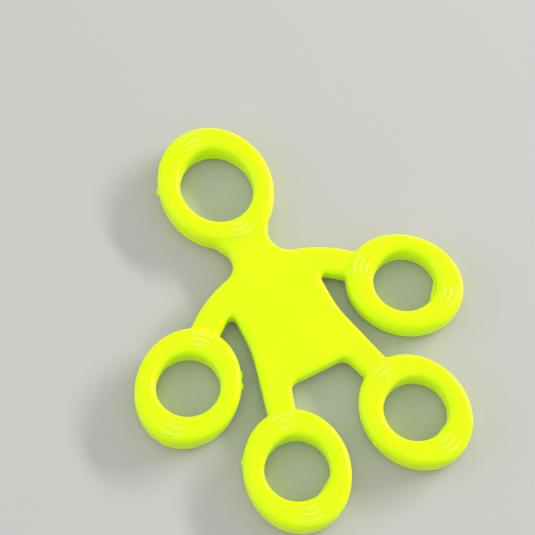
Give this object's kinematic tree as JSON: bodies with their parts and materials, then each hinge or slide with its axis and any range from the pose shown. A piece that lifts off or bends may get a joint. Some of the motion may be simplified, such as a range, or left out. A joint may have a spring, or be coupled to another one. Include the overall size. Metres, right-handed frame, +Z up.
{
  "type": "finger exerciser",
  "caption": "Flat elastic hand exerciser: a thin palm web with a loop for each fingertip, stretched by spreading the fingers.",
  "frame": {"origin": "on the table, under the middle of the whole outline", "axes": "+Z up from the table; +Y along the mirror line from the finger loops to the thumb loop; +X towards the index and middle loops"},
  "size_m": [0.1022, 0.1248, 0.0086],
  "materials": {
    "silicone": "satin moulded silicone, fluorescent yellow-green"
  },
  "bodies": {
    "palm": {"palm_web": "silicone"},
    "thumb_neck": {"thumb_neck": "silicone"},
    "thumb_loop": {"thumb_loop": "silicone", "thumb_ribs": "silicone"},
    "index_neck": {"index_neck": "silicone"},
    "index_loop": {"index_loop": "silicone", "index_ribs": "silicone"},
    "middle_neck": {"middle_neck": "silicone"},
    "middle_loop": {"middle_loop": "silicone", "middle_ribs": "silicone"},
    "ring_finger_neck": {"ring_finger_neck": "silicone"},
    "ring_finger_loop": {"ring_finger_loop": "silicone", "ring_finger_ribs": "silicone"},
    "little_neck": {"little_neck": "silicone"},
    "little_loop": {"little_loop": "silicone", "little_ribs": "silicone"}
  },
  "joints": [
    {"name": "thumb_bend", "type": "hinge", "parent": "palm", "child": "thumb_neck", "pos_m": [0, 0.01923, 0.00415], "axis": [1, 0, 0], "range_deg": [0, 60], "stiffness_Nm_per_rad": 0.02, "deforming": ["thumb_neck"]},
    {"name": "thumb_stretch", "type": "slide", "parent": "thumb_neck", "child": "thumb_loop", "axis": [0, 1, 0], "range_m": [0, 0.012], "stiffness_N_per_m": 1000, "deforming": ["thumb_neck"]},
    {"name": "index_bend", "type": "hinge", "parent": "palm", "child": "index_neck", "pos_m": [0.0216, 0.00436, 0.00415], "axis": [-0.729, -0.6845, 0], "range_deg": [0, 60], "stiffness_Nm_per_rad": 0.02, "deforming": ["index_neck"]},
    {"name": "index_stretch", "type": "slide", "parent": "index_neck", "child": "index_loop", "axis": [0.6845, -0.729, 0], "range_m": [0, 0.012], "stiffness_N_per_m": 1000, "deforming": ["index_neck"]},
    {"name": "middle_bend", "type": "hinge", "parent": "palm", "child": "middle_neck", "pos_m": [0.01468, -0.02521, 0.00415], "axis": [-0.9789, -0.2045, 0], "range_deg": [0, 60], "stiffness_Nm_per_rad": 0.02, "deforming": ["middle_neck"]},
    {"name": "middle_stretch", "type": "slide", "parent": "middle_neck", "child": "middle_loop", "axis": [0.2045, -0.9789, 0], "range_m": [0, 0.012], "stiffness_N_per_m": 1000, "deforming": ["middle_neck"]},
    {"name": "ring_finger_bend", "type": "hinge", "parent": "palm", "child": "ring_finger_neck", "pos_m": [-0.01468, -0.02521, 0.00415], "axis": [-0.9789, 0.2045, 0], "range_deg": [0, 60], "stiffness_Nm_per_rad": 0.02, "deforming": ["ring_finger_neck"]},
    {"name": "ring_finger_stretch", "type": "slide", "parent": "ring_finger_neck", "child": "ring_finger_loop", "axis": [-0.2045, -0.9789, 0], "range_m": [0, 0.012], "stiffness_N_per_m": 1000, "deforming": ["ring_finger_neck"]},
    {"name": "little_bend", "type": "hinge", "parent": "palm", "child": "little_neck", "pos_m": [-0.0216, 0.00436, 0.00415], "axis": [-0.729, 0.6845, 0], "range_deg": [0, 60], "stiffness_Nm_per_rad": 0.02, "deforming": ["little_neck"]},
    {"name": "little_stretch", "type": "slide", "parent": "little_neck", "child": "little_loop", "axis": [-0.6845, -0.729, 0], "range_m": [0, 0.012], "stiffness_N_per_m": 1000, "deforming": ["little_neck"]}
  ]
}
